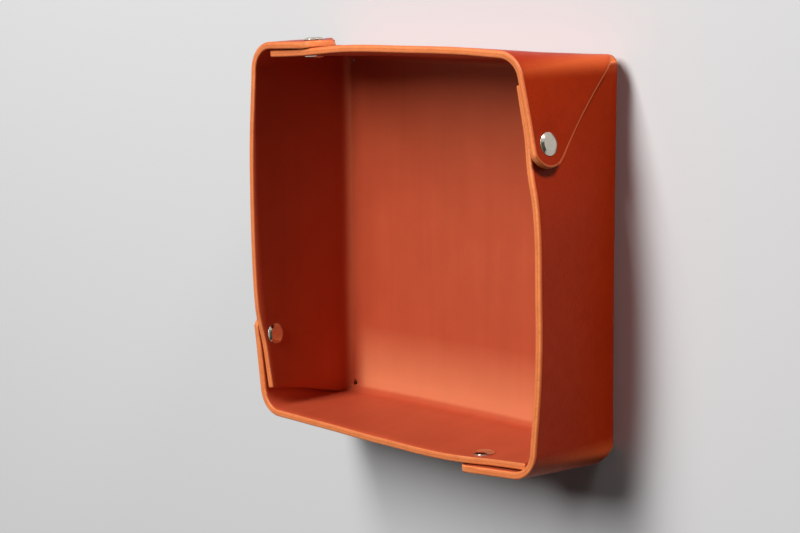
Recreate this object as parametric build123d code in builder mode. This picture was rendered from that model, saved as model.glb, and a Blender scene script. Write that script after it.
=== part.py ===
from build123d import *
from math import atan2, degrees, radians, sin, tan
import os

# A valet tray: one sheet of thick leather folded up into an open square tray. Each wall wraps
# round one corner and ends in a flap on the outside of the next wall, where a double-cap rivet
# goes through both layers. Sizes are in millimetres. The origin is in the middle of the
# underside of the floor, and the opening faces +Z.

# The folded sheet
tray_side = 160.0  # outside of the walls, across the floor
tray_height = 53.5
leather = 3.0  # thickness of the sheet
floor_bend = 5.5  # outside radius where a wall folds up from the floor
low_corner_bend = 6.4  # outside radius of the corner near the floor
rim_corner_bend = 12.5  # outside radius of the corner at the rim
layer_gap = 0.4  # between a flap and the wall under it, at the rivet
corner_gap = 0.6  # the same beside the corner
tip_gap = 0.7  # the same at the tip of the flap
tuck_clearance = 0.8  # between the tucked end of a wall and the inside of the wall it meets
tuck_drop = 1.1  # how much lower the rim is at the tucked end
relief_radius = 2.4  # hole punched where the folds of two walls meet
fold_stop = 2.5  # how far short of the corner the fold of a wrapped end stops

# The flaps, at the back right, front right, front left and back left corner. The walls were cut
# and folded by hand and differ a little.
rivet_reach = (32.2, 31.5, 34.1, 29.7)  # from the corner of the floor to the rivet, along the wall
rivet_drop = 7.9  # from the rim to the middle of the rivet
tip_radius = 8.9  # of the round tip, about the rivet
flap_foot = 7.0  # height at which the slanting edge of the flap meets the corner

# How the rim runs, against the straight edge of the floor, on the back, right, front and left wall
rim_out = ((2.6, 3.2, 3.1), (3.4, 5.0, 5.0), (1.3, 1.1, 0.3), (3.7, 4.8, 4.5))  # outwards
rim_place_shares = (-0.3, 0.1, 0.5)  # where it is that far out, in half sides from the middle
corner_out = (1.8, 1.6, -0.5, 1.8)  # outwards, where the wall wraps round the corner
rivet_lean = (-0.4, 2.6, -0.3, -1.0)  # inwards, at the rivet near the tucked end
tuck_lean = (0.8, 6.3, 1.8, 3.4)  # inwards, at the tucked end
tuck_cut_back = (4.0, 6.4, 0.8, 9.2)  # how much shorter the tucked end is at the rim

# The rivets, each of two caps, a flanged post and a flanged socket
cap_radius = 4.5
cap_height = 1.5
cap_bevel = 0.9  # width of the sloping rim round the flat top of a cap
cap_drop = 0.5  # height of the same
cap_edge = 0.3  # small slope where a cap meets the leather
cap_metal = 0.35  # thickness of the stamped sheet
lip_width = 1.2  # the edge of a cap is curled in under the flange by this much
flange_metal = 0.4
flange_clearance = 0.1
post_bore = 1.0
post_radius = 1.5
head_clearance = 0.05
socket_clearance = 0.1
socket_metal = 0.4
socket_length = 2.2
hole_clearance = 0.2
seat_depth = 0.3  # each cap is pressed into the leather by this much
seat_clearance = 0.15

overrun = 2.0  # cuts run past the leather by this much
offset_steps = 12  # places where the inside of a curve is measured off its outside

wall_names = ("back", "right", "front", "left")
corner_names = ("back_right", "front_right", "front_left", "back_left")
quarter_turn = -90  # from each wall to the next, clockwise seen from above

half_side = tray_side / 2
rivet_place = [half_side - reach for reach in rivet_reach]
wrap_end = half_side - fold_stop
tuck_end = half_side - leather - tuck_clearance
tuck_end_rim = [tuck_end - cut for cut in tuck_cut_back]
flange_radius = cap_radius - cap_metal - flange_clearance
socket_radius = post_radius + socket_clearance + socket_metal
post_head = cap_height - cap_metal * 2 - flange_metal - head_clearance


def outline(wall_points, corner, flap_points, radius):
    """Outside of a wall, its corner and its flap in plan, as two curves and an arc."""
    to_wall = (wall_points[-1] - corner).normalized()
    to_flap = (flap_points[0] - corner).normalized()
    half_angle = radians(to_wall.get_angle(to_flap)) / 2
    centre = corner + (to_wall + to_flap).normalized() * (radius / sin(half_angle))
    reach = radius / tan(half_angle)
    return {
        "wall": wall_points + [corner + to_wall * reach],
        "flap": [corner + to_flap * reach] + flap_points,
        "centre": centre,
        "radius": radius,
    }


def flap_end(wall):
    """Where the strip for a wall's flap ends, past its tip, along the wall that it lies on."""
    return rivet_place[wall] - tip_radius - overrun


def low_outline(wall):
    """The outline near the floor, where everything is straight."""
    flap_face = half_side + leather + corner_gap
    wall_points = [Vector(-tuck_end, half_side), Vector(-rivet_place[wall - 1], half_side)]
    wall_points += [Vector(share * half_side, half_side) for share in rim_place_shares]
    flap_points = [Vector(flap_face, rivet_place[wall]), Vector(flap_face, flap_end(wall))]
    return outline(wall_points, Vector(flap_face, half_side), flap_points, low_corner_bend)


def rim_outline(wall):
    """The outline at the rim, which bows out along a wall and leans in at the rivets."""
    wall_points = [
        Vector(-tuck_end_rim[wall], half_side - tuck_lean[wall]),
        Vector(-rivet_place[wall - 1], half_side - rivet_lean[wall]),
    ]
    wall_points += [
        Vector(place * half_side, half_side + out)
        for place, out in zip(rim_place_shares, rim_out[wall])
    ]
    # The flap lies on the next wall, so it follows that wall's rim.
    under = (wall + 1) % len(wall_names)
    cover = half_side + leather
    tucked = Vector(cover + corner_gap - tuck_lean[under], tuck_end_rim[under])
    rivet = Vector(cover + layer_gap - rivet_lean[under], rivet_place[wall])
    bowed = Vector(cover + tip_gap + rim_out[under][0], -rim_place_shares[0] * half_side)
    end = rivet + (bowed - rivet) * ((rivet.Y - flap_end(wall)) / (rivet.Y - bowed.Y))
    corner_line = half_side + corner_out[wall]
    slope = (rivet.X - tucked.X) / (rivet.Y - tucked.Y)
    corner = Vector(tucked.X + slope * (corner_line - tucked.Y), corner_line)
    return outline(wall_points, corner, [rivet, end], rim_corner_bend)


def inner_curve(outer):
    """A curve one thickness of leather inside another."""
    places = [step / offset_steps for step in range(offset_steps + 1)]
    return Spline([outer @ p + (outer % p).rotate(Axis.Z, quarter_turn) * leather for p in places])


def strip_section(shape, level):
    """Plan section of the strip of leather that an outline goes round."""
    wall, flap, centre, radius = (shape[key] for key in ("wall", "flap", "centre", "radius"))
    into_bend = wall[-1] - wall[-2]
    out_of_bend = flap[1] - flap[0]
    spoke = wall[-1] - centre
    first = degrees(atan2(spoke.Y, spoke.X))
    turn = -into_bend.get_angle(out_of_bend)
    with BuildSketch(Plane.XY.offset(level)) as section:
        with BuildLine():
            wall_face = Spline(wall, tangents=(wall[1] - wall[0], into_bend))
            CenterArc(centre, radius, first, turn)
            flap_face = Spline(flap, tangents=(out_of_bend, flap[-1] - flap[-2]))
            flap_back = inner_curve(flap_face)
            CenterArc(centre, radius - leather, first, turn)
            wall_back = inner_curve(wall_face)
            Line(wall_face @ 0, wall_back @ 0)
            Line(flap_face @ 1, flap_back @ 1)
        make_face()
    return section.sketch


def flap_waste(wall):
    """What is cut off a wall's strip to leave its flap, seen square on to the next wall."""
    with BuildSketch() as flap_shape:
        with Locations((rivet_place[wall], tray_height - rivet_drop)):
            Circle(tip_radius)
        with BuildLine():
            Polyline(
                (rivet_place[wall], tray_height),
                (half_side, flap_foot),
                (half_side + tray_height, flap_foot),
                (half_side + tray_height, tray_height),
                close=True,
            )
        make_hull()
    with BuildPart() as waste:
        with BuildSketch(Plane.YZ.offset(wrap_end)):
            with Locations((flap_end(wall) - overrun, 0)):
                Rectangle(tray_side, tray_height, align=(Align.MIN, Align.MIN))
            add(flap_shape.sketch_local, mode=Mode.SUBTRACT)
        extrude(amount=tray_height)
    return waste.part


def wall_strip(wall):
    """One wall with its corner and its flap, as if it were the back wall."""
    with BuildPart() as strip:
        low = strip_section(low_outline(wall), floor_bend)
        rim = strip_section(rim_outline(wall), tray_height)
        loft([low, rim], ruled=True)
        add(flap_waste(wall), mode=Mode.SUBTRACT)
        # The rim runs down a little towards the tucked end.
        with BuildSketch(Plane.XZ.offset(-half_side - tray_height)):
            with BuildLine():
                Polyline(
                    (rim_place_shares[0] * half_side, tray_height),
                    (-tuck_end_rim[wall], tray_height - tuck_drop),
                    (-half_side - overrun, tray_height - tuck_drop),
                    (-half_side - overrun, tray_height + overrun),
                    (rim_place_shares[0] * half_side, tray_height + overrun),
                    close=True,
                )
            make_face()
        extrude(amount=tray_side, mode=Mode.SUBTRACT)
    return strip.part


def fold():
    """The quarter round at the foot of the back wall."""
    with BuildPart() as bend:
        with BuildSketch(Plane.YZ.offset(-tuck_end)):
            with Locations((half_side - floor_bend, floor_bend)):
                Circle(floor_bend)
                Circle(floor_bend - leather, mode=Mode.SUBTRACT)
                Rectangle(
                    floor_bend, floor_bend, align=(Align.MIN, Align.MAX), mode=Mode.INTERSECT
                )
        extrude(amount=tuck_end + wrap_end)
    return bend.part


with BuildPart() as leather_body:
    with BuildSketch():
        Rectangle(tray_side - floor_bend * 2, tray_side - floor_bend * 2)
    extrude(amount=leather)
    for wall in range(len(wall_names)):
        turned = (0, 0, quarter_turn * wall)
        add(fold(), rotation=turned)
        add(wall_strip(wall), rotation=turned)
    # A round hole lets each corner fold without tearing.
    with BuildSketch():
        with GridLocations(tray_side - floor_bend * 2, tray_side - floor_bend * 2, 2, 2):
            Circle(relief_radius)
    extrude(amount=floor_bend, mode=Mode.SUBTRACT)


def crossings(start, direction):
    """Where a line goes in and out of the leather, nearest first, each with its normal."""
    line = Axis(start, direction)
    found = [hit for face in leather_body.faces() for hit in face.find_intersection_points(line)]
    ahead = [hit for hit in found if (hit[0] - start).dot(Vector(direction)) > 0]
    return sorted(ahead, key=lambda hit: (hit[0] - start).length)


def rivet_line(corner):
    """Plane of the seat under a rivet's outer cap, and the leather between its two caps."""
    turn = quarter_turn * corner
    outside = Vector(tray_side, rivet_place[corner], tray_height - rivet_drop).rotate(Axis.Z, turn)
    point, normal = crossings(outside, Vector(-1, 0, 0).rotate(Axis.Z, turn))[0]
    # The line goes into the flap, out of it, into the wall and out again.
    inside = crossings(point + normal * overrun, normal * -1)[3][0]
    seat = Plane(point - normal * seat_depth, z_dir=normal)
    return seat, (point - inside).length - seat_depth * 2


seats = [rivet_line(corner) for corner in range(len(corner_names))]

# Holes for the rivets, and the flats that their caps press into the leather. A seat's plane
# faces out of the flap, and the inner cap sits at the far end of the grip.
with leather_body:
    for seat, grip in seats:
        with BuildSketch(seat.offset(overrun)):
            Circle(socket_radius + hole_clearance)
        extrude(amount=-grip - overrun * 2, mode=Mode.SUBTRACT)
        with BuildSketch(seat):
            Circle(cap_radius + seat_clearance)
        extrude(amount=overrun, mode=Mode.SUBTRACT)
        with BuildSketch(seat.offset(-grip)):
            Circle(cap_radius + seat_clearance)
        extrude(amount=-overrun, mode=Mode.SUBTRACT)
leather_body.part.label = "leather_body"


# A rivet's pieces are turned about their own axis, with the outer seat at height zero.
with BuildPart() as cap:
    with BuildSketch(Plane.XZ):
        with BuildLine():
            Polyline(
                (0, cap_height),
                (cap_radius - cap_bevel, cap_height),
                (cap_radius, cap_height - cap_drop),
                (cap_radius, cap_edge),
                (cap_radius - cap_edge, 0),
                (cap_radius - lip_width, 0),
            )
            offset(amount=cap_metal, side=Side.RIGHT)
        make_face()
    revolve(axis=Axis.Z)


def rivet_post(grip):
    """The flanged tube that goes through both layers, with its far end spread."""
    far_side = -grip - cap_metal - flange_metal
    with BuildPart() as post:
        with BuildSketch(Plane.XZ):
            with BuildLine():
                Polyline(
                    (post_bore, cap_metal + flange_metal),
                    (flange_radius, cap_metal + flange_metal),
                    (flange_radius, cap_metal),
                    (post_radius, cap_metal),
                    (post_radius, far_side),
                    (socket_radius, far_side),
                    (socket_radius, far_side - post_head),
                    (post_bore, far_side - post_head),
                    close=True,
                )
            make_face()
        revolve(axis=Axis.Z)
    return post


def rivet_socket(grip):
    """The flanged eyelet inside, which the post goes through before it is spread."""
    near_side = -grip - cap_metal
    with BuildPart() as socket:
        with BuildSketch(Plane.XZ):
            with BuildLine():
                Polyline(
                    (post_radius + socket_clearance, near_side - flange_metal),
                    (flange_radius, near_side - flange_metal),
                    (flange_radius, near_side),
                    (socket_radius, near_side),
                    (socket_radius, near_side + socket_length),
                    (post_radius + socket_clearance, near_side + socket_length),
                    close=True,
                )
            make_face()
        revolve(axis=Axis.Z)
    return socket


def write_piece(piece, name, place):
    """Put a piece of a rivet in its place and write it under its own name."""
    with BuildPart() as placed:
        add(place.location * piece.part)
    placed.part.label = name
    export_step(placed.part, f"parts/{name}.step")


os.makedirs("parts", exist_ok=True)
export_step(leather_body.part, "parts/leather_body.step")
for corner, (seat, grip) in zip(corner_names, seats):
    inner_seat = Plane(seat.offset(-grip).origin, seat.x_dir, -seat.z_dir)
    write_piece(cap, f"{corner}_outer_cap", seat)
    write_piece(rivet_post(grip), f"{corner}_post", seat)
    write_piece(rivet_socket(grip), f"{corner}_socket", seat)
    write_piece(cap, f"{corner}_inner_cap", inner_seat)
    print(corner, "rivet grips", round(grip, 2), "mm of leather")
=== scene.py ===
from math import acos, asin, atan2, cos, exp, pi, radians, sin, sqrt, tan

import bpy
import numpy as np
from mathutils import Matrix, Vector, noise
from mathutils.bvhtree import BVHTree
from mathutils.geometry import interpolate_bezier, intersect_point_line
from mathutils.kdtree import KDTree


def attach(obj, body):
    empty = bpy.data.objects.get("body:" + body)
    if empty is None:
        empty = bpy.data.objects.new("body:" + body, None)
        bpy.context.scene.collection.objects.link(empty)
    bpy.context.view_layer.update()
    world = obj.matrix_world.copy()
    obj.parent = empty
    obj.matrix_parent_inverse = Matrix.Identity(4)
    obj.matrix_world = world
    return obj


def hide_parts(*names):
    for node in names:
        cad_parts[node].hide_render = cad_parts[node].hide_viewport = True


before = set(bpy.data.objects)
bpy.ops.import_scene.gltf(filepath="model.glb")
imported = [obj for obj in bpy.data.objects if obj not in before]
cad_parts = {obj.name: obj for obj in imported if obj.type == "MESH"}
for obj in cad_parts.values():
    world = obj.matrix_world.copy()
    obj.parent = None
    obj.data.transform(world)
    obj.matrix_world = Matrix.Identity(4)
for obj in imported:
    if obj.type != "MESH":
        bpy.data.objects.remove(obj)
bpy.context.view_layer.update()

# The camera.
# It looks at the tray from the front right and a little above, with the tray's back wall at the
# top of the picture and its open side towards the left.
bearing = radians(45.91)
tilt = radians(8.68)
roll = radians(-0.35)
look = Vector((-sin(bearing) * cos(tilt), -sin(tilt), -cos(bearing) * cos(tilt)))
level_right = look.cross(Vector((0, 1, 0))).normalized()
level_up = level_right.cross(look)
right = level_right * cos(roll) + level_up * sin(roll)
up = level_up * cos(roll) - level_right * sin(roll)
eye = right * -0.0321 + up * -0.0121 - look * 0.830
camera_lens = bpy.data.cameras.new("camera")
camera_lens.lens = 87.98
camera = bpy.data.objects.new("camera", camera_lens)
camera.matrix_world = Matrix.Translation(eye) @ Matrix((right, up, -look)).transposed().to_4x4()
bpy.context.scene.collection.objects.link(camera)
bpy.context.scene.camera = camera

# The leather body.
# One sheet of 3 mm vegetable-tanned leather. It is cut flat, with the four walls and their
# flaps still joined to the floor, a round hole is punched where two folds meet, and the walls
# are folded up by hand, each one wrapped round its corner and over the end of the next wall.
half_side = 80.0
tray_height = 53.5
leather = 3.0
fold_radius = 6.5  # outside of the fold at the foot of a wall
fold_bow = (1.0, 0.5, 1.0, 1.0)  # how far a fold bends in along the middle of its wall
hole_radius = 1.7
low_corner_bend = 6.4
rim_corner_bend = 12.5
layer_gap = 0.4
corner_gap = 0.6
tip_gap = 0.7
rim_flare = (0.6, 0.35, 0.0, -0.4)  # how much further a flap stands off at its rim
flap_drop = (0.0, 0.0, 1.1, 0.0)  # how much lower a flap's rim is than its wall's
rivet_reach = (32.2, 31.5, 34.1, 29.7)
rivet_drop = 7.9
tip_radius = 8.9
foot_height = 5.0  # where the slanting edge of a flap meets the end of the fold
rim_out = ((2.6, 3.2, 3.4), (3.4, 5.0, 5.0), (1.3, 1.1, 0.3), (3.7, 4.8, 4.5))
rim_places = (-24.0, 8.0, 40.0)
corner_out = (2.3, 1.6, -0.5, 1.8)
rivet_lean = (-0.4, 2.6, -0.3, -1.0)
tuck_lean = (0.8, 8.0, 1.8, 3.4)
tuck_drop = 2.0
dip_start = -33.0  # where the rim of a tucked end begins to dip
dip_length = 25.0
tuck_end = 77.1
tuck_cut_back = (4.6, 7.0, 1.4, 8.4)
wrap_end = 77.3
tip_spare = 4.0  # how far the outline of a rim runs on past the flap
straight_foot = 2.0  # a wall begins to lean this far above the ground
lean_ease = 9.0  # and it reaches its full lean over this height
kerf = 3.9  # the cut between a fold's wrapped end and the tucked end of the next wall

fold_line = half_side - fold_radius
fold_length = fold_radius * pi / 2
fold_spare = fold_length - fold_radius  # what the sheet's skin takes to go round a fold
fine = 4  # rows and columns of the mesh across the hole
coarse = 88  # columns between two holes
foot_row = 9
wall_rows = 24
flap_columns = 38

columns = [-tuck_end, -75.7, -74.6]
columns += [-fold_line + hole_radius * step / fine for step in range(fine)]
columns += [-fold_line + hole_radius + (fold_line - hole_radius) * 2 * step / coarse
            for step in range(coarse)]
columns += [fold_line - hole_radius * (fine - step) / fine for step in range(fine + 1)]
columns += [74.45, 75.4, 76.35, wrap_end]
left_hole = columns.index(-fold_line + hole_radius)
right_hole = left_hole + coarse
last_wall_column = len(columns) - 1
floor_lines = columns[left_hole - fine:right_hole + fine + 1]
foot_length = fold_radius * acos(1 - foot_height / fold_radius)
hole_row = hole_radius + 0.15
first_rows = [hole_row * step / fine for step in range(fine)]
first_rows += [hole_row + (foot_length - hole_row) * step / (foot_row - fine)
               for step in range(foot_row - fine + 1)]


def smooth_line(points, steps=24):
    """Close-set points along a smooth line through the given ones."""
    ways = [points[1] - points[0]]
    ways += [after - before for before, after in zip(points, points[2:])]
    ways += [points[-1] - points[-2]]
    line = [points[0]]
    for start, end, way_in, way_out in zip(points, points[1:], ways, ways[1:]):
        third = (end - start).length / 3
        handles = (start + way_in.normalized() * third, end - way_out.normalized() * third)
        line += interpolate_bezier(start, handles[0], handles[1], end, steps)[1:]
    return line


def rim_line(wall):
    """Plan of the outside of a wall at its rim, from its tucked end to past the flap's tip."""
    tuck_rim = [tuck_end - cut for cut in tuck_cut_back]
    points = [
        Vector((-tuck_rim[wall], half_side - tuck_lean[wall])),
        Vector((rivet_reach[wall - 1] - half_side, half_side - rivet_lean[wall])),
    ]
    points += [Vector((u, half_side + out)) for u, out in zip(rim_places, rim_out[wall])]
    under = (wall + 1) % 4
    cover = half_side + leather
    flared = cover + rim_flare[wall]
    rivet = Vector((flared + layer_gap - rivet_lean[under], half_side - rivet_reach[wall]))
    tucked = Vector((cover + corner_gap - tuck_lean[under], tuck_rim[under]))
    bowed = Vector((flared + tip_gap + rim_out[under][0], -rim_places[0]))
    end = rivet + (bowed - rivet).normalized() * (rivet_drop + tip_spare)
    corner_line = half_side + corner_out[wall]
    corner = Vector((0, corner_line))
    corner.x = tucked.x + (rivet.x - tucked.x) * (corner_line - tucked.y) / (rivet.y - tucked.y)
    to_wall = (points[-1] - corner).normalized()
    to_flap = (rivet - corner).normalized()
    half_angle = to_wall.angle(to_flap) / 2
    centre = corner + (to_wall + to_flap).normalized() * (rim_corner_bend / sin(half_angle))
    reach = rim_corner_bend / tan(half_angle)
    first = corner + to_wall * reach - centre
    last = corner + to_flap * reach - centre
    line = smooth_line(points + [centre + first])
    painted_fold_highlight = pi - half_angle * 2
    start = atan2(first.y, first.x)
    line += [centre + Vector((cos(start - painted_fold_highlight * step / 40), sin(start - painted_fold_highlight * step / 40)))
             * rim_corner_bend for step in range(1, 41)]
    flap = smooth_line([centre + last, rivet])
    return line + flap[1:], smooth_line([rivet, end])[1:]


def low_line(wall, s):
    """Plan of the outside of a wall near the floor, at a distance along it."""
    face = half_side + leather + corner_gap
    bend_start = face - low_corner_bend
    bend_length = low_corner_bend * pi / 2
    if s < bend_start:
        return Vector((s, half_side - fold_bow[wall] * max(0, 1 - (s / wrap_end) ** 2)))
    if s < bend_start + bend_length:
        angle = (s - bend_start) / low_corner_bend
        return Vector((bend_start + low_corner_bend * sin(angle),
                       half_side - low_corner_bend * (1 - cos(angle))))
    return Vector((face, half_side - low_corner_bend - (s - bend_start - bend_length)))


rivet_s = []
rims = []
for wall in range(4):
    face = half_side + leather + corner_gap
    s = face - low_corner_bend + low_corner_bend * (pi / 2 - 1) + rivet_reach[wall]
    before, after = rim_line(wall)
    line = np.array([tuple(point) for point in before + after])
    along = np.concatenate([[0], np.cumsum(np.hypot(*np.diff(line, axis=0).T))])
    rivet_s.append(s)
    rims.append((along - along[len(before) - 1] + s, line[:, 0], line[:, 1]))


def flat_place(wall, column, row):
    """Where a point of a wall's mesh lies on the flat blank, along and out from the fold."""
    top = tray_height + fold_spare
    if column <= last_wall_column:
        s = columns[column]
        slope = max(0, min(1, (rim_places[0] - s) / (rim_places[0] + tuck_end)))
        dip = max(0, min(1, (dip_start - s) / dip_length))
        top -= tuck_drop * (1 - cos(pi * dip)) / 2
        if row <= foot_row:
            t = first_rows[row]
            if column > right_hole + fine:
                t = kerf + (foot_length - kerf) * (row - fine) / (foot_row - fine)
        else:
            t = foot_length + (top - foot_length) * (row - foot_row) / wall_rows
        at_hole = min(abs(column - left_hole), abs(column - right_hole))
        if row <= fine and column in (left_hole, right_hole):
            angle = pi - pi / 8 * row / fine * 2
            s = (fold_line + hole_radius * cos(angle)) * (1 if column == right_hole else -1)
            t = hole_radius * sin(angle)
        elif row == fine and (column < left_hole or column > right_hole):
            if at_hole <= fine:
                angle = pi * 3 / 4 - pi / 4 * at_hole / fine
                s = (fold_line + hole_radius * cos(angle)) * (1 if column > right_hole else -1)
                t = hole_radius * sin(angle)
            else:
                beyond = min(abs(s) - fold_line, hole_radius)
                t = sqrt(hole_radius ** 2 - beyond ** 2)
                t = max(t, kerf) if column > right_hole else t
        rise = max(0, t - fold_length) / (top - fold_length)
        s += (rims[wall][0][0] + tuck_end) * rise ** 2 * slope
        return s, t
    p = (column - last_wall_column) / flap_columns
    q = (row - foot_row) / wall_rows
    centre = Vector((rivet_s[wall], top - rivet_drop))
    foot = Vector((wrap_end, foot_length))
    head = Vector((wrap_end, top))
    away = foot - centre
    angle = atan2(away.y, away.x) + acos(tip_radius / away.length)
    first = centre + Vector((cos(angle), sin(angle))) * tip_radius
    last_angle = asin(rivet_drop / tip_radius)
    last = centre + Vector((cos(last_angle), sin(last_angle))) * tip_radius
    angle += (last_angle - angle) % (2 * pi) * q
    start = foot.lerp(head, q)
    end = centre + Vector((cos(angle), sin(angle))) * tip_radius
    place = foot.lerp(first, p) * (1 - q) + head.lerp(last, p) * q + start.lerp(end, p)
    place -= (foot * (1 - p) + first * p) * (1 - q) + (head * (1 - p) + last * p) * q
    drop = flap_drop[wall] * (1 - cos(pi * p)) / 2
    return place.x, place.y - drop * q ** 3


def turned(x, y, quarters):
    """A point of the plan, turned clockwise by quarter turns."""
    for _ in range(quarters % 4):
        x, y = y, -x
    return x, y


def folded(x, y):
    """Where a point of the flat blank goes when the walls are folded up."""
    for wall in range(4):
        s, out = turned(x, y, -wall)
        past_hole = s > fold_line + 0.01 and out < tuck_end + 0.1
        if out > fold_line + 0.01 and s > -tuck_end - 0.1 and not past_hole:
            t = out - fold_line
            z = t - fold_spare
            inset = 0
            if t < fold_length:
                z = fold_radius * (1 - cos(t / fold_radius))
                inset = fold_radius * (1 - sin(t / fold_radius))
                inset *= max(0, min(1, (wrap_end + 2 - s) / 2))
            low = low_line(wall, s)
            places, xs, ys = rims[wall]
            rim = Vector((np.interp(s, places, xs), np.interp(s, places, ys)))
            rise = z - straight_foot
            if rise < lean_ease:
                rise = max(0, rise) ** 2 / (lean_ease * 2)
            else:
                rise -= lean_ease / 2
            plan = low.lerp(rim, rise / (tray_height - straight_foot - lean_ease / 2))
            return (*turned(plan.x, plan.y - inset, wall), z)
    bow_y = fold_bow[0 if y > 0 else 2] * max(0, 1 - (x / wrap_end) ** 2)
    bow_x = fold_bow[1 if x > 0 else 3] * max(0, 1 - (y / wrap_end) ** 2)
    bow_y *= (abs(y) / fold_line) ** 3
    bow_x *= (abs(x) / fold_line) ** 3
    return x - bow_x * np.sign(x), y - bow_y * np.sign(y), 0


bpy.ops.object.select_all(action="DESELECT")
strips = []
for wall in range(4):
    across = last_wall_column + flap_columns
    upward = foot_row + wall_rows
    bpy.ops.mesh.primitive_grid_add(x_subdivisions=across, y_subdivisions=upward, size=2)
    strip = bpy.context.object
    bpy.ops.object.mode_set(mode="EDIT")
    bpy.ops.mesh.select_all(action="DESELECT")
    bpy.ops.object.mode_set(mode="OBJECT")
    for vertex in strip.data.vertices:
        column = round((vertex.co.x + 1) / 2 * across)
        row = round((vertex.co.y + 1) / 2 * upward)
        vertex.select = (row < fine and not left_hole <= column <= right_hole
                         or row < foot_row and column > last_wall_column)
        if not vertex.select:
            s, t = flat_place(wall, column, row)
            vertex.co = (*turned(s, fold_line + t, wall), 0)
    bpy.ops.object.mode_set(mode="EDIT")
    bpy.ops.mesh.delete(type="VERT")
    bpy.ops.object.mode_set(mode="OBJECT")
    strips.append(strip)
lines = len(floor_lines) - 1
bpy.ops.mesh.primitive_grid_add(x_subdivisions=lines, y_subdivisions=lines, size=2)
leather_piece = bpy.context.object
leather_piece.name = "leather_tray"
bpy.ops.object.mode_set(mode="EDIT")
bpy.ops.mesh.select_all(action="DESELECT")
bpy.ops.object.mode_set(mode="OBJECT")
for vertex in leather_piece.data.vertices:
    steps = [round((value + 1) / 2 * lines) for value in vertex.co[:2]]
    place = [floor_lines[step] for step in steps]
    inset = [min(step, lines - step) for step in steps]
    vertex.select = max(inset) < fine
    if max(inset) == fine:
        near = min(inset)
        angle = pi + pi / 4 * near / fine
        if inset[0] == near:
            angle = pi * 3 / 2 - pi / 4 * near / fine
        arc = (fold_line + hole_radius * cos(angle), fold_line + hole_radius * sin(angle))
        place = [value if place[axis] > 0 else -value for axis, value in enumerate(arc)]
    vertex.co = (*place, 0)
bpy.ops.object.mode_set(mode="EDIT")
bpy.ops.mesh.delete(type="VERT")
bpy.ops.object.mode_set(mode="OBJECT")
for strip in strips:
    strip.select_set(True)
leather_piece.select_set(True)
bpy.context.view_layer.objects.active = leather_piece
bpy.ops.object.join()
bpy.ops.object.mode_set(mode="EDIT")
bpy.ops.mesh.select_all(action="SELECT")
bpy.ops.mesh.remove_doubles(threshold=0.02)
bpy.ops.mesh.normals_make_consistent(inside=False)
bpy.ops.object.mode_set(mode="OBJECT")

blank = leather_piece.data
while blank.uv_layers:
    blank.uv_layers.remove(blank.uv_layers[0])
flat = blank.uv_layers.new(name="blank")
for loop in blank.loops:
    flat.data[loop.index].uv = blank.vertices[loop.vertex_index].co.xy / 1000
for vertex in blank.vertices:
    vertex.co = Vector(folded(vertex.co.x, vertex.co.y)) / 1000
blank.update()
outside = Vector((0, 0, -1))
low_faces = [polygon for polygon in blank.polygons if polygon.center.z < 1e-6]
if low_faces[0].normal.dot(outside) < 0:
    blank.flip_normals()

# Hand pressure leaves the walls a little uneven, and each rivet draws its two layers together.
corner_names = ("back_right", "front_right", "front_left", "back_left")
flap_squeeze = (0.00055, 0.00040, 0.00040, 0.00010)
wall_squeeze = (0.00015, 0.00015, 0.00015, 0.00005)
dimple = 0.007  # how wide the dimple round a rivet is
dimple_limit = 0.018
dimple_depth = 0.008
broad_swell = 0.00014
small_swell = 0.00004
even_foot = 0.012  # the walls stay even up to this height
rivets = []
for corner in corner_names:
    middles = []
    for side in ("outer", "inner"):
        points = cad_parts[f"{corner}_{side}_cap"].data.vertices
        middles.append(sum((point.co for point in points), Vector()) / len(points))
    rivets.append(((middles[0] + middles[1]) / 2, (middles[0] - middles[1]).normalized()))
for vertex in blank.vertices:
    if vertex.co.z > even_foot:
        swell = noise.noise(vertex.co * 45) * broad_swell
        swell += noise.noise(vertex.co * 120) * small_swell
        vertex.co += vertex.normal * swell * min(1, (vertex.co.z - even_foot) / 0.01)
    for corner, (middle, axis) in enumerate(rivets):
        arm = vertex.co - middle
        along = arm.dot(axis)
        away = (arm - axis * along).length
        if away < dimple_limit and abs(along) < dimple_depth:
            pull = exp(-(away / dimple) ** 2)
            on_flap = along > leather / 2000
            squeeze = -flap_squeeze[corner] if on_flap else wall_squeeze[corner]
            vertex.co += axis * squeeze * pull
skin = BVHTree.FromPolygons([v.co for v in blank.vertices], [p.vertices for p in blank.polygons])
use = {}
for polygon in blank.polygons:
    for key in polygon.edge_keys:
        use[key] = use.get(key, 0) + 1
border_points = {}
beside = {}
for key, faces in use.items():
    if faces == 1:
        for start, end in (key, key[::-1]):
            border_points[start] = blank.vertices[start].co.copy()
            beside.setdefault(start, []).append(end)
border = KDTree(len(border_points))
for index, place in border_points.items():
    border.insert(place, index)
border.balance()


def colour(code):
    """A shader colour from its sRGB hex code."""
    parts = [int(code[place:place + 2], 16) / 255 for place in (1, 3, 5)]
    return [part / 12.92 if part <= 0.04045 else ((part + 0.055) / 1.055) ** 2.4
            for part in parts] + [1]


def add_node(tree, kind, values=None, links=None, **settings):
    """Add a shader node with its settings, its values and its links."""
    made = tree.nodes.new(kind)
    for key, value in settings.items():
        setattr(made, key, value)
    for socket, value in (values or {}).items():
        made.inputs[socket].default_value = value
    for socket, source in (links or {}).items():
        tree.links.new(source, made.inputs[socket])
    return made
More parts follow.
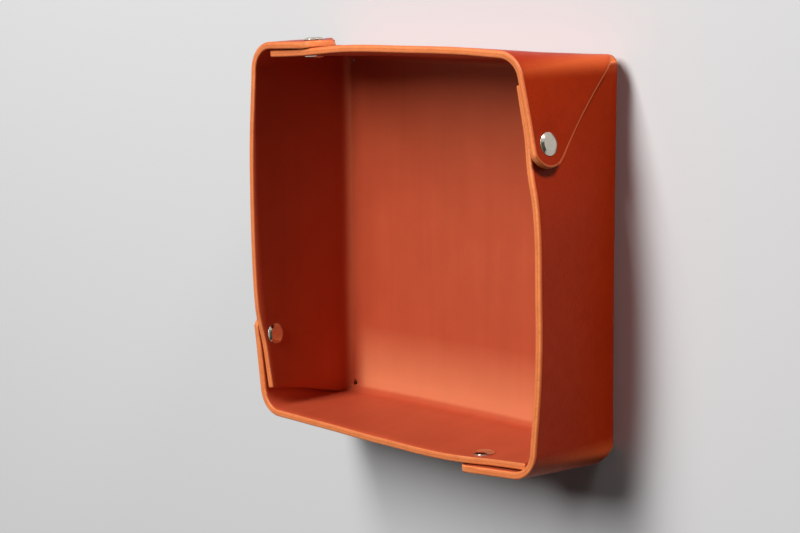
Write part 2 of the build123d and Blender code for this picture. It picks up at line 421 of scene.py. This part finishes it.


# The grain side: full-grain leather, dyed through and waxed by hand. The wax gives it a soft
# shine, fine pores and creases break that shine up, and the colour is darker where the slicker
# rubbed it beside a cut edge. Near the corner bends it is lighter, partly because the waxed
# leather pales where it is pulled tight and partly as a painted highlight.
grain_side = bpy.data.materials.new("waxed_full_grain_leather")
grain_side.use_nodes = True
tree = grain_side.node_tree
shader = tree.nodes["Principled BSDF"]
where = add_node(tree, "ShaderNodeUVMap", uv_map="blank").outputs["UV"]
clouds = add_node(tree, "ShaderNodeTexNoise", {"Scale": 38.0, "Detail": 4.0}, {"Vector": where})
mottle = add_node(tree, "ShaderNodeTexNoise", {"Scale": 210.0, "Detail": 4.0, "Roughness": 0.6},
                  {"Vector": where})
creases = add_node(tree, "ShaderNodeTexNoise", {"Scale": 520.0, "Detail": 4.0, "Distortion": 1.2},
                   {"Vector": where})
# Pores lie about 0.8 mm apart here, twice as far as on the hide, so that they show.
pores = add_node(tree, "ShaderNodeTexVoronoi", {"Scale": 1250.0}, {"Vector": where})
tone = add_node(tree, "ShaderNodeMix", {"A": colour("#881C02"), "B": colour("#962604")},
                {"Factor": clouds.outputs["Fac"]}, data_type="RGBA")
spots = add_node(tree, "ShaderNodeMapRange", {"From Min": 0.35, "From Max": 0.75, "To Max": 0.35},
                 {"Value": mottle.outputs["Fac"]})
tone = add_node(tree, "ShaderNodeMix", {"B": colour("#7A1A04")},
                {"Factor": spots.outputs["Result"], "A": tone.outputs["Result"]},
                data_type="RGBA")
# Lighter near the corner bends: partly pull-up paling of the waxed leather, partly a painted
# highlight.
pull_up_and_painted_highlight = add_node(tree, "ShaderNodeAttribute", attribute_name="bend").outputs["Fac"]
tone = add_node(tree, "ShaderNodeMix", {"B": colour("#C65C2E")},
                {"Factor": pull_up_and_painted_highlight, "A": tone.outputs["Result"]}, data_type="RGBA")
from_edge = add_node(tree, "ShaderNodeAttribute", attribute_name="from_edge").outputs["Fac"]
rubbed = add_node(tree, "ShaderNodeMapRange",
                  {"From Min": 2.2, "From Max": 0.4, "To Min": 0.0, "To Max": 0.4},
                  {"Value": from_edge})
tone = add_node(tree, "ShaderNodeMix", {"B": colour("#6E1804")},
                {"Factor": rubbed.outputs["Result"], "A": tone.outputs["Result"]},
                data_type="RGBA")
# A light line just inside the cut edge: the paler raw burr, with a painted highlight where it
# catches the light.
painted_burr_highlight = add_node(tree, "ShaderNodeMapRange", {"From Min": 1.05, "From Max": 0.7, "To Max": 0.6},
                {"Value": from_edge})
tone = add_node(tree, "ShaderNodeMix", {"B": colour("#C4623A")},
                {"Factor": painted_burr_highlight.outputs["Result"], "A": tone.outputs["Result"]},
                data_type="RGBA")
tree.links.new(tone.outputs["Result"], shader.inputs["Base Color"])
lump = add_node(tree, "ShaderNodeBump", {"Strength": 0.5, "Distance": 0.00018},
                {"Height": creases.outputs["Fac"]})
pit = add_node(tree, "ShaderNodeBump", {"Strength": 0.25, "Distance": 0.0001},
               {"Height": pores.outputs["Distance"], "Normal": lump.outputs["Normal"]})
tree.links.new(pit.outputs["Normal"], shader.inputs["Normal"])
gloss = add_node(tree, "ShaderNodeMapRange", {"To Min": 0.36, "To Max": 0.56},
                 {"Value": mottle.outputs["Fac"]})
tree.links.new(gloss.outputs["Result"], shader.inputs["Roughness"])
shader.inputs["Specular IOR Level"].default_value = 0.22
shader.inputs["Specular Tint"].default_value = colour("#FFA060")

# The flesh side: shaved, dyed and pasted smooth, so it is matt and paler than the grain, with
# faint streaks where the paste was drawn over it. A pale band where it turns up at the front
# is a painted highlight.
flesh_side = bpy.data.materials.new("pasted_flesh_side_leather")
flesh_side.use_nodes = True
tree = flesh_side.node_tree
shader = tree.nodes["Principled BSDF"]
where = add_node(tree, "ShaderNodeUVMap", uv_map="blank").outputs["UV"]
clouds = add_node(tree, "ShaderNodeTexNoise", {"Scale": 45.0, "Detail": 4.0}, {"Vector": where})
drawn = add_node(tree, "ShaderNodeMapping", {"Scale": (150.0, 9.0, 1.0)}, {"Vector": where})
streaks = add_node(tree, "ShaderNodeTexNoise", {"Scale": 1.0, "Detail": 5.0, "Distortion": 0.4},
                   {"Vector": drawn.outputs["Vector"]})
nap = add_node(tree, "ShaderNodeTexNoise", {"Scale": 1500.0, "Detail": 4.0}, {"Vector": where})
tone = add_node(tree, "ShaderNodeMix", {"A": colour("#B5462B"), "B": colour("#C75536")},
                {"Factor": clouds.outputs["Fac"]}, data_type="RGBA")
drag = add_node(tree, "ShaderNodeMapRange", {"From Min": 0.4, "From Max": 0.75, "To Max": 0.3},
                {"Value": streaks.outputs["Fac"]})
tone = add_node(tree, "ShaderNodeMix", {"B": colour("#A8432A")},
                {"Factor": drag.outputs["Result"], "A": tone.outputs["Result"]},
                data_type="RGBA")
fuzz = add_node(tree, "ShaderNodeMapRange", {"From Min": 0.3, "From Max": 0.8, "To Max": 0.25},
                {"Value": nap.outputs["Fac"]})
tone = add_node(tree, "ShaderNodeMix", {"B": colour("#9C3C24")},
                {"Factor": fuzz.outputs["Result"], "A": tone.outputs["Result"]},
                data_type="RGBA")
# A painted highlight: a pale band on the floor where it turns up at the front fold.
parts = add_node(tree, "ShaderNodeSeparateXYZ", links={"Vector": where})
inner = add_node(tree, "ShaderNodeMapRange",
                 {"From Min": -0.045, "From Max": -0.070, "To Max": 0.62},
                 {"Value": parts.outputs["Y"]})
outer = add_node(tree, "ShaderNodeMapRange", {"From Min": -0.0765, "From Max": -0.0735},
                 {"Value": parts.outputs["Y"]})
painted_fold_highlight = add_node(tree, "ShaderNodeMath", None,
                {0: inner.outputs["Result"], 1: outer.outputs["Result"]}, operation="MULTIPLY")
aside = add_node(tree, "ShaderNodeMath", None, {0: parts.outputs["X"]}, operation="ABSOLUTE")
aside = add_node(tree, "ShaderNodeMapRange", {"From Min": 0.0735, "From Max": 0.066},
                 {"Value": aside.outputs["Value"]})
painted_fold_highlight = add_node(tree, "ShaderNodeMath", None,
                {0: painted_fold_highlight.outputs["Value"], 1: aside.outputs["Result"]}, operation="MULTIPLY")
tone = add_node(tree, "ShaderNodeMix", {"B": colour("#EE9468")},
                {"Factor": painted_fold_highlight.outputs["Value"], "A": tone.outputs["Result"]},
                data_type="RGBA")
tree.links.new(tone.outputs["Result"], shader.inputs["Base Color"])
lump = add_node(tree, "ShaderNodeBump", {"Strength": 0.3, "Distance": 0.0001},
                {"Height": nap.outputs["Fac"]})
tree.links.new(lump.outputs["Normal"], shader.inputs["Normal"])
shader.inputs["Roughness"].default_value = 0.5
shader.inputs["Specular IOR Level"].default_value = 0.5
shader.inputs["Specular Tint"].default_value = colour("#FFD8A0")
shader.inputs["Sheen Weight"].default_value = 0.08
shader.inputs["Sheen Roughness"].default_value = 0.4
shader.inputs["Sheen Tint"].default_value = colour("#F0A078")

# The cut edge: the fibres of the hide show in the orange that the dye leaves inside it. Its two
# corners are bevelled and burnished, which darkens them, and the dark tone at the grain-side
# corner is partly painted shade as well. Small pits lie about 3 mm apart.
cut_edge = bpy.data.materials.new("raw_cut_edge_of_leather")
cut_edge.use_nodes = True
tree = cut_edge.node_tree
shader = tree.nodes["Principled BSDF"]
where = add_node(tree, "ShaderNodeTexCoord").outputs["Object"]
depth = add_node(tree, "ShaderNodeAttribute", attribute_name="depth").outputs["Fac"]
fibres = add_node(tree, "ShaderNodeTexNoise", {"Scale": 1300.0, "Detail": 5.0, "Roughness": 0.6},
                  {"Vector": where})
patches = add_node(tree, "ShaderNodeTexNoise", {"Scale": 190.0, "Detail": 3.0}, {"Vector": where})
layers = add_node(tree, "ShaderNodeValToRGB", None, {"Fac": depth})
ramp = layers.color_ramp
# Darker at both faces from burnishing, and at the grain face (depth 0) partly painted shade too.
for place, code in ((0.0, "#B04A1E"), (0.10, "#D0642C"), (0.28, "#F29052"), (0.46, "#E87D3E"),
                    (0.52, "#D66831"), (0.60, "#EE874B"), (0.86, "#E88045"), (1.0, "#A84420")):
    stop = ramp.elements.new(place) if 0 < place < 1 else ramp.elements[-1 if place else 0]
    stop.color = colour(code)
worn = add_node(tree, "ShaderNodeMapRange", {"From Min": 0.35, "From Max": 0.7, "To Max": 0.35},
                {"Value": fibres.outputs["Fac"]})
tone = add_node(tree, "ShaderNodeMix", {"B": colour("#B84E20")},
                {"Factor": worn.outputs["Result"], "A": layers.outputs["Color"]},
                data_type="RGBA")
worn = add_node(tree, "ShaderNodeMapRange", {"From Min": 0.4, "From Max": 0.7, "To Max": 0.2},
                {"Value": patches.outputs["Fac"]})
tone = add_node(tree, "ShaderNodeMix", {"B": colour("#A8421A")},
                {"Factor": worn.outputs["Result"], "A": tone.outputs["Result"]},
                data_type="RGBA")
pits = add_node(tree, "ShaderNodeTexVoronoi", {"Scale": 300.0}, {"Vector": where})
holes = add_node(tree, "ShaderNodeMapRange",
                 {"From Min": 0.10, "From Max": 0.03, "To Max": 0.7},
                 {"Value": pits.outputs["Distance"]})
tone = add_node(tree, "ShaderNodeMix", {"B": colour("#9A3A14")},
                {"Factor": holes.outputs["Result"], "A": tone.outputs["Result"]},
                data_type="RGBA")
tree.links.new(tone.outputs["Result"], shader.inputs["Base Color"])
lump = add_node(tree, "ShaderNodeBump", {"Strength": 0.5, "Distance": 0.0002},
                {"Height": fibres.outputs["Fac"]})
pit = add_node(tree, "ShaderNodeBump", {"Strength": 0.3, "Distance": 0.0002},
               {"Height": pits.outputs["Distance"], "Normal": lump.outputs["Normal"]})
tree.links.new(pit.outputs["Normal"], shader.inputs["Normal"])
shader.inputs["Roughness"].default_value = 0.5
shader.inputs["Specular IOR Level"].default_value = 0.8
shader.inputs["Specular Tint"].default_value = colour("#FFE4C0")

for material in (grain_side, flesh_side, cut_edge):
    leather_piece.data.materials.append(material)
solid = leather_piece.modifiers.new("thickness", "SOLIDIFY")
solid.thickness = leather / 1000
solid.offset = -1
solid.use_even_offset = True
solid.material_offset = 1
solid.material_offset_rim = 2
bpy.ops.object.modifier_apply(modifier="thickness")

# The corners of the cut edge are taken off with an edge beveller, except round the small holes.
edge_bevel = 0.65
hole_bevel_share = 0.3
near_hole = 0.069  # the small holes lie further out than this, and lower than the next
hole_top = 0.0075
bpy.ops.object.mode_set(mode="EDIT")
bpy.ops.mesh.select_mode(type="EDGE")
bpy.ops.mesh.select_all(action="DESELECT")
bpy.ops.mesh.edges_select_sharp(sharpness=radians(55))
bpy.ops.object.mode_set(mode="OBJECT")
body = leather_piece.data
weights = body.attributes.new("bevel_weight_edge", "FLOAT", "EDGE")
for edge in body.edges:
    if edge.select:
        middle = (body.vertices[edge.vertices[0]].co + body.vertices[edge.vertices[1]].co) / 2
        at_hole = min(abs(middle.x), abs(middle.y)) > near_hole and middle.z < hole_top
        weights.data[edge.index].value = hole_bevel_share if at_hole else 1.0
edges = leather_piece.modifiers.new("edges", "BEVEL")
edges.width = edge_bevel / 1000
edges.segments = 3
edges.limit_method = "WEIGHT"
edges.use_clamp_overlap = False
edges.material = 2
bpy.ops.object.modifier_apply(modifier="edges")
bpy.ops.object.shade_smooth_by_angle(angle=radians(50))

# How deep in the sheet, how far from the cut edge in millimetres, and how tightly bent each
# point is, for the materials. The last sets the grain side's paler tone and painted highlight
# at the corner bends.
far_from_edge = 9.0
bend_begins = 72.0
bend_full = 78.0
most_bend = 0.5
measures = {"depth": [], "from_edge": [], "bend": []}
for vertex in body.vertices:
    deep = skin.find_nearest(vertex.co)[3] * 1000
    measures["depth"].append(deep / leather)
    found = border.find(vertex.co)[1]
    near = far_from_edge
    for other in beside[found]:
        ends = border_points[found], border_points[other]
        foot, share = intersect_point_line(vertex.co, *ends)
        foot = ends[0] if share < 0 else foot
        near = min(near, (vertex.co - foot).length * 1000)
    measures["from_edge"].append(sqrt(max(0, near ** 2 - deep ** 2)))
    corner_side = min(abs(vertex.co.x), abs(vertex.co.y)) * 1000
    bend = (corner_side - bend_begins) / (bend_full - bend_begins)
    measures["bend"].append(max(0, min(1, bend)) * most_bend)
for name, values in measures.items():
    body.attributes.new(name, "FLOAT", "POINT").data.foreach_set("value", values)

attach(leather_piece, "root")
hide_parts("leather_body")

# The rivet caps.
# Stamped brass caps, 9 mm across, nickel plated and polished. One is pressed on at each end of a
# rivet and bites a little into the leather.
cap_sheet = 0.35
cap_rounding = 0.13
cap_rings = ((3.3, 0.0), (4.2, 0.0), (4.5, 0.3), (4.5, 0.75), (3.1, 1.47), (1.6, 1.5))
bpy.ops.object.select_all(action="DESELECT")
bpy.ops.mesh.primitive_circle_add(vertices=64, radius=cap_rings[0][0] / 1000, fill_type="NOTHING")
cap = bpy.context.object
bpy.ops.object.mode_set(mode="EDIT")
bpy.ops.mesh.select_all(action="SELECT")
for before, after in zip(cap_rings, cap_rings[1:]):
    bpy.ops.mesh.extrude_region_move(
        TRANSFORM_OT_translate={"value": (0, 0, (after[1] - before[1]) / 1000)})
    grow = after[0] / before[0]
    bpy.ops.transform.resize(value=(grow, grow, 1))
bpy.ops.mesh.extrude_region_move(TRANSFORM_OT_translate={"value": (0, 0, 0.00001)})
bpy.ops.mesh.merge(type="CENTER")
bpy.ops.mesh.select_all(action="SELECT")
bpy.ops.mesh.normals_make_consistent(inside=False)
bpy.ops.object.mode_set(mode="OBJECT")
shell = cap.modifiers.new("sheet", "SOLIDIFY")
shell.thickness = cap_sheet / 1000
shell.offset = -1
bpy.ops.object.modifier_apply(modifier="sheet")
rounded = cap.modifiers.new("rounded", "BEVEL")
rounded.width = cap_rounding / 1000
rounded.segments = 3
rounded.limit_method = "ANGLE"
rounded.angle_limit = radians(25)
bpy.ops.object.modifier_apply(modifier="rounded")
bpy.ops.object.shade_smooth_by_angle(angle=radians(50))

# The plate is mirror bright when new. Keys and handling leave it slightly hazed and scratched.
nickel = bpy.data.materials.new("polished_nickel_plate")
nickel.use_nodes = True
tree = nickel.node_tree
shader = tree.nodes["Principled BSDF"]
where = add_node(tree, "ShaderNodeTexCoord").outputs["Object"]
haze = add_node(tree, "ShaderNodeTexNoise", {"Scale": 600.0, "Detail": 4.0}, {"Vector": where})
drawn = add_node(tree, "ShaderNodeMapping", {"Scale": (2500.0, 300.0, 900.0)}, {"Vector": where})
scratches = add_node(tree, "ShaderNodeTexNoise", {"Scale": 1.0, "Detail": 3.0},
                     {"Vector": drawn.outputs["Vector"]})
mark = add_node(tree, "ShaderNodeMath", None,
                {0: haze.outputs["Fac"], 1: scratches.outputs["Fac"]}, operation="MULTIPLY")
gloss = add_node(tree, "ShaderNodeMapRange",
                 {"From Min": 0.1, "From Max": 0.45, "To Min": 0.06, "To Max": 0.18},
                 {"Value": mark.outputs["Value"]})
tree.links.new(gloss.outputs["Result"], shader.inputs["Roughness"])
tone = add_node(tree, "ShaderNodeMix", {"A": colour("#BDB5A6"), "B": colour("#D6CFC2")},
                {"Factor": haze.outputs["Fac"]}, data_type="RGBA")
tree.links.new(tone.outputs["Result"], shader.inputs["Base Color"])
shader.inputs["Metallic"].default_value = 1.0
cap.data.materials.append(nickel)

for corner, (middle, axis) in zip(corner_names, rivets):
    for side, way in (("outer", axis), ("inner", -axis)):
        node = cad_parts[f"{corner}_{side}_cap"]
        seat = min((point.co - middle).dot(way) for point in node.data.vertices)
        piece = cap.copy()
        piece.data = cap.data.copy()
        piece.name = f"nickel_cap_{corner}_{side}"
        bpy.context.scene.collection.objects.link(piece)
        place = Matrix.Translation(middle + way * seat)
        piece.data.transform(place @ way.to_track_quat("Z", "Y").to_matrix().to_4x4())
        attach(piece, "root")
        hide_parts(f"{corner}_{side}_cap")
bpy.data.objects.remove(cap)

# The posts and sockets.
# Plain steel tubes with flanges, zinc plated in a barrel, which leaves a dull grey with faint
# blooms. They are pressed into each other through both layers, and the leather hides them.
zinc = bpy.data.materials.new("barrel_plated_steel")
zinc.use_nodes = True
tree = zinc.node_tree
shader = tree.nodes["Principled BSDF"]
where = add_node(tree, "ShaderNodeTexCoord").outputs["Object"]
bloom = add_node(tree, "ShaderNodeTexNoise", {"Scale": 900.0, "Detail": 3.0}, {"Vector": where})
tone = add_node(tree, "ShaderNodeMix", {"A": colour("#9A9790"), "B": colour("#B9B6AF")},
                {"Factor": bloom.outputs["Fac"]}, data_type="RGBA")
tree.links.new(tone.outputs["Result"], shader.inputs["Base Color"])
shader.inputs["Metallic"].default_value = 1.0
shader.inputs["Roughness"].default_value = 0.42
for name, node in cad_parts.items():
    if name.endswith(("post", "socket")):
        node.data.materials.clear()
        node.data.materials.append(zinc)

# The floor that the tray stands on.
# It is plain, matt and pale where it is looked at or mirrored, and darker where light only
# bounces off it, so that it doesn't lighten the shade under the rims.
bpy.ops.object.select_all(action="DESELECT")
bpy.ops.mesh.primitive_plane_add(size=8, location=(0, 0, -0.0001))
studio_floor = bpy.context.object
studio_floor.name = "studio_floor"


def looked_at(tree):
    """One for a ray that the camera, a mirror or glass sends, and zero for bounced light."""
    ray = add_node(tree, "ShaderNodeLightPath").outputs
    seen = add_node(tree, "ShaderNodeMath", None,
                    {0: ray["Is Camera Ray"], 1: ray["Is Glossy Ray"]}, operation="ADD")
    seen = add_node(tree, "ShaderNodeMath", None,
                    {0: seen.outputs["Value"], 1: ray["Is Transmission Ray"]},
                    operation="ADD", use_clamp=True)
    return seen.outputs["Value"]


pale = bpy.data.materials.new("pale_matt_floor")
pale.use_nodes = True
tree = pale.node_tree
shader = tree.nodes["Principled BSDF"]
seen = looked_at(tree)
tone = add_node(tree, "ShaderNodeMix", {"A": colour("#8A8A88"), "B": colour("#DADADA")},
                {"Factor": seen}, data_type="RGBA")
tree.links.new(tone.outputs["Result"], shader.inputs["Base Color"])
shader.inputs["Roughness"].default_value = 0.9
shader.inputs["Specular IOR Level"].default_value = 0.1
studio_floor.data.materials.append(pale)

# The light.
# A large soft lamp stands high beyond the back wall, and a small one stands low beside the back
# right corner, where it draws the flap out of the shade. The room itself gives hardly any light.
world = bpy.data.worlds.new("studio")
bpy.context.scene.world = world
world.use_nodes = True
tree = world.node_tree
seen = looked_at(tree)
strength = add_node(tree, "ShaderNodeMapRange", {"To Min": 0.03, "To Max": 0.7},
                    {"Value": seen})
tree.links.new(strength.outputs["Result"], tree.nodes["Background"].inputs["Strength"])
tree.nodes["Background"].inputs["Color"].default_value = (1, 1, 1, 1)
for name, place, power, width, height in (
    ("window", (-0.30, 1.15, 1.60), 50, 0.6, 1.6),
    ("low_lamp", (0.70, 1.02, 0.045), 16.2, 0.26, 0.08),
):
    lamp = bpy.data.lights.new(name, "AREA")
    lamp.energy = power
    lamp.shape = "RECTANGLE"
    lamp.size = width
    lamp.size_y = height
    light = bpy.data.objects.new(name, lamp)
    light.location = place
    aim = Vector((0, 0, 0.02)) - Vector(place)
    light.rotation_euler = aim.to_track_quat("-Z", "Y").to_euler()
    bpy.context.scene.collection.objects.link(light)
bpy.context.scene.view_settings.view_transform = "Standard"

# A dark card.
# It stands beside the tray, where no camera sees it and no light bounces off it. Only the caps
# and the wax mirror it, which gives the polished metal its contrast.
bpy.ops.object.select_all(action="DESELECT")
bpy.ops.mesh.primitive_plane_add(size=1, location=(1.1, -0.15, 0.28), rotation=(0, pi / 2, 0))
card = bpy.context.object
card.name = "dark_card"
card.scale = (0.5, 1.5, 1)
bpy.ops.object.transform_apply(location=False, rotation=True, scale=True)
card.visible_camera = False
card.visible_diffuse = False
card.visible_shadow = False
felt = bpy.data.materials.new("dark_felt")
felt.use_nodes = True
tree = felt.node_tree
shader = tree.nodes["Principled BSDF"]
weave = add_node(tree, "ShaderNodeTexNoise", {"Scale": 40.0, "Detail": 3.0})
tone = add_node(tree, "ShaderNodeMix", {"A": colour("#4A4C40"), "B": colour("#5E6054")},
                {"Factor": weave.outputs["Fac"]}, data_type="RGBA")
tree.links.new(tone.outputs["Result"], shader.inputs["Base Color"])
shader.inputs["Roughness"].default_value = 1.0
card.data.materials.append(felt)
